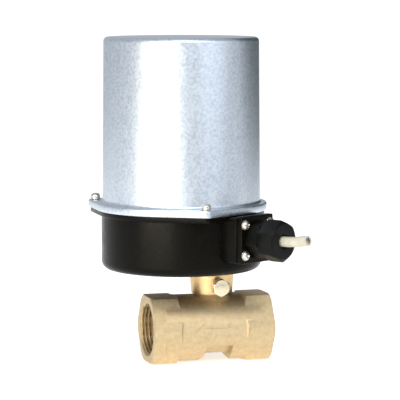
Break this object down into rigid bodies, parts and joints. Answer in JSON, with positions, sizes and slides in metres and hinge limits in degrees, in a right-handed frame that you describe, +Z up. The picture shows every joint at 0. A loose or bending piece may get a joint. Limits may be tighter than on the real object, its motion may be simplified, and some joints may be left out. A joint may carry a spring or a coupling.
{
  "type": "motorised zone valve",
  "caption": "Straight brass ball valve with threaded hexagonal ends, turned by a geared motor in a round black base under a tall plated steel can, with a cable gland.",
  "frame": {"origin": "crossing of the pipe axis and the stem axis", "axes": "+X along the pipe towards the outlet, +Z up the stem, -Y towards the front ear"},
  "size_m": [0.1074, 0.1382, 0.1979],
  "materials": {
    "satin_brass": "shot-blasted, satin",
    "machined_brass": "machined",
    "zinc_steel": "zinc-plated, slightly mottled",
    "plain_steel": "zinc-plated fastener",
    "ball_chrome": "hard chrome, polished",
    "black_paint": "semi-gloss black on die-cast aluminium",
    "black_plastic": "moulded nylon",
    "white_plastic": "moulded",
    "ptfe": "machined PTFE",
    "seal_rubber": "moulded nitrile",
    "grey_pvc": "extruded PVC",
    "board_green": "solder mask on laminate",
    "capacitor_film": "wrapped film"
  },
  "bodies": {
    "root": {"valve_body": "satin_brass", "outlet_seat": "ptfe", "inlet_seat": "ptfe", "seat_retainer": "machined_brass", "thrust_washer": "ptfe", "neck_washer": "ptfe", "neck_sleeve": "satin_brass", "clamp_bolt": "plain_steel", "neck_lock_nut": "plain_steel", "base_housing": "black_paint", "cover_gasket": "seal_rubber", "gland_plate": "black_paint", "gland_plate_screw_1": "plain_steel", "gland_plate_screw_2": "plain_steel", "gland_plate_screw_3": "plain_steel", "gland_plate_screw_4": "plain_steel", "gland_body": "black_plastic", "gland_seal": "seal_rubber", "gland_nut": "black_plastic", "cable_sheath": "grey_pvc", "pillar_1": "plain_steel", "pillar_2": "plain_steel", "pillar_3": "plain_steel", "lower_plate": "plain_steel", "upper_plate": "plain_steel", "plate_screw_1": "plain_steel", "plate_screw_2": "plain_steel", "plate_screw_3": "plain_steel", "lower_bush": "machined_brass", "upper_bush": "machined_brass", "idler_pin": "plain_steel", "motor_gearbox": "zinc_steel", "motor": "zinc_steel", "motor_screw_1": "plain_steel", "motor_screw_2": "plain_steel", "switch_stand": "black_plastic", "closed_switch": "black_plastic", "open_switch": "black_plastic", "switch_screw_1": "plain_steel", "switch_screw_2": "plain_steel", "capacitor": "capacitor_film", "board_bracket": "white_plastic", "control_board": "board_green", "terminal_block": "white_plastic"},
    "output": {"output_shaft": "plain_steel", "output_gear": "plain_steel", "closed_cam": "white_plastic", "open_cam": "white_plastic", "stem": "machined_brass", "stem_o_ring": "seal_rubber", "ball": "ball_chrome"},
    "idler": {"idler_gear": "plain_steel"},
    "motor_rotor": {"motor_pinion": "machined_brass", "motor_shaft": "plain_steel"},
    "closed_plunger": {"closed_switch_plunger": "white_plastic"},
    "open_plunger": {"open_switch_plunger": "white_plastic"},
    "cover": {"cover": "zinc_steel", "cover_screw_1": "plain_steel", "cover_screw_2": "plain_steel", "cover_screw_3": "plain_steel"}
  },
  "joints": [
    {"name": "valve_turn", "type": "hinge", "parent": "root", "child": "output", "pos_m": [0, 0, 0], "axis": [0, 0, 1], "range_deg": [0, 90]},
    {"name": "idler_spin", "type": "hinge", "parent": "root", "child": "idler", "pos_m": [-0.02598, 0.015, 0], "axis": [0, 0, 1], "range_deg": [-360, 0]},
    {"name": "motor_spin", "type": "hinge", "parent": "root", "child": "motor_rotor", "pos_m": [-0.03798, -0.00578, 0], "axis": [0, 0, 1], "range_deg": [0, 1080]},
    {"name": "closed_switch_press", "type": "slide", "parent": "root", "child": "closed_plunger", "axis": [0, -1, 0], "range_m": [0, 0.001], "stiffness_N_per_m": 300, "springref_m": -0.0005},
    {"name": "open_switch_press", "type": "slide", "parent": "root", "child": "open_plunger", "axis": [0, -1, 0], "range_m": [0, 0.001], "stiffness_N_per_m": 300, "springref_m": -0.0005},
    {"name": "cover_lift", "type": "slide", "parent": "root", "child": "cover", "axis": [0, 0, 1], "range_m": [0, 0.11]}
  ],
  "couplings": [
    {"joint": "idler_spin", "follows": "valve_turn", "ratio": -4},
    {"joint": "motor_spin", "follows": "valve_turn", "ratio": 12}
  ]
}
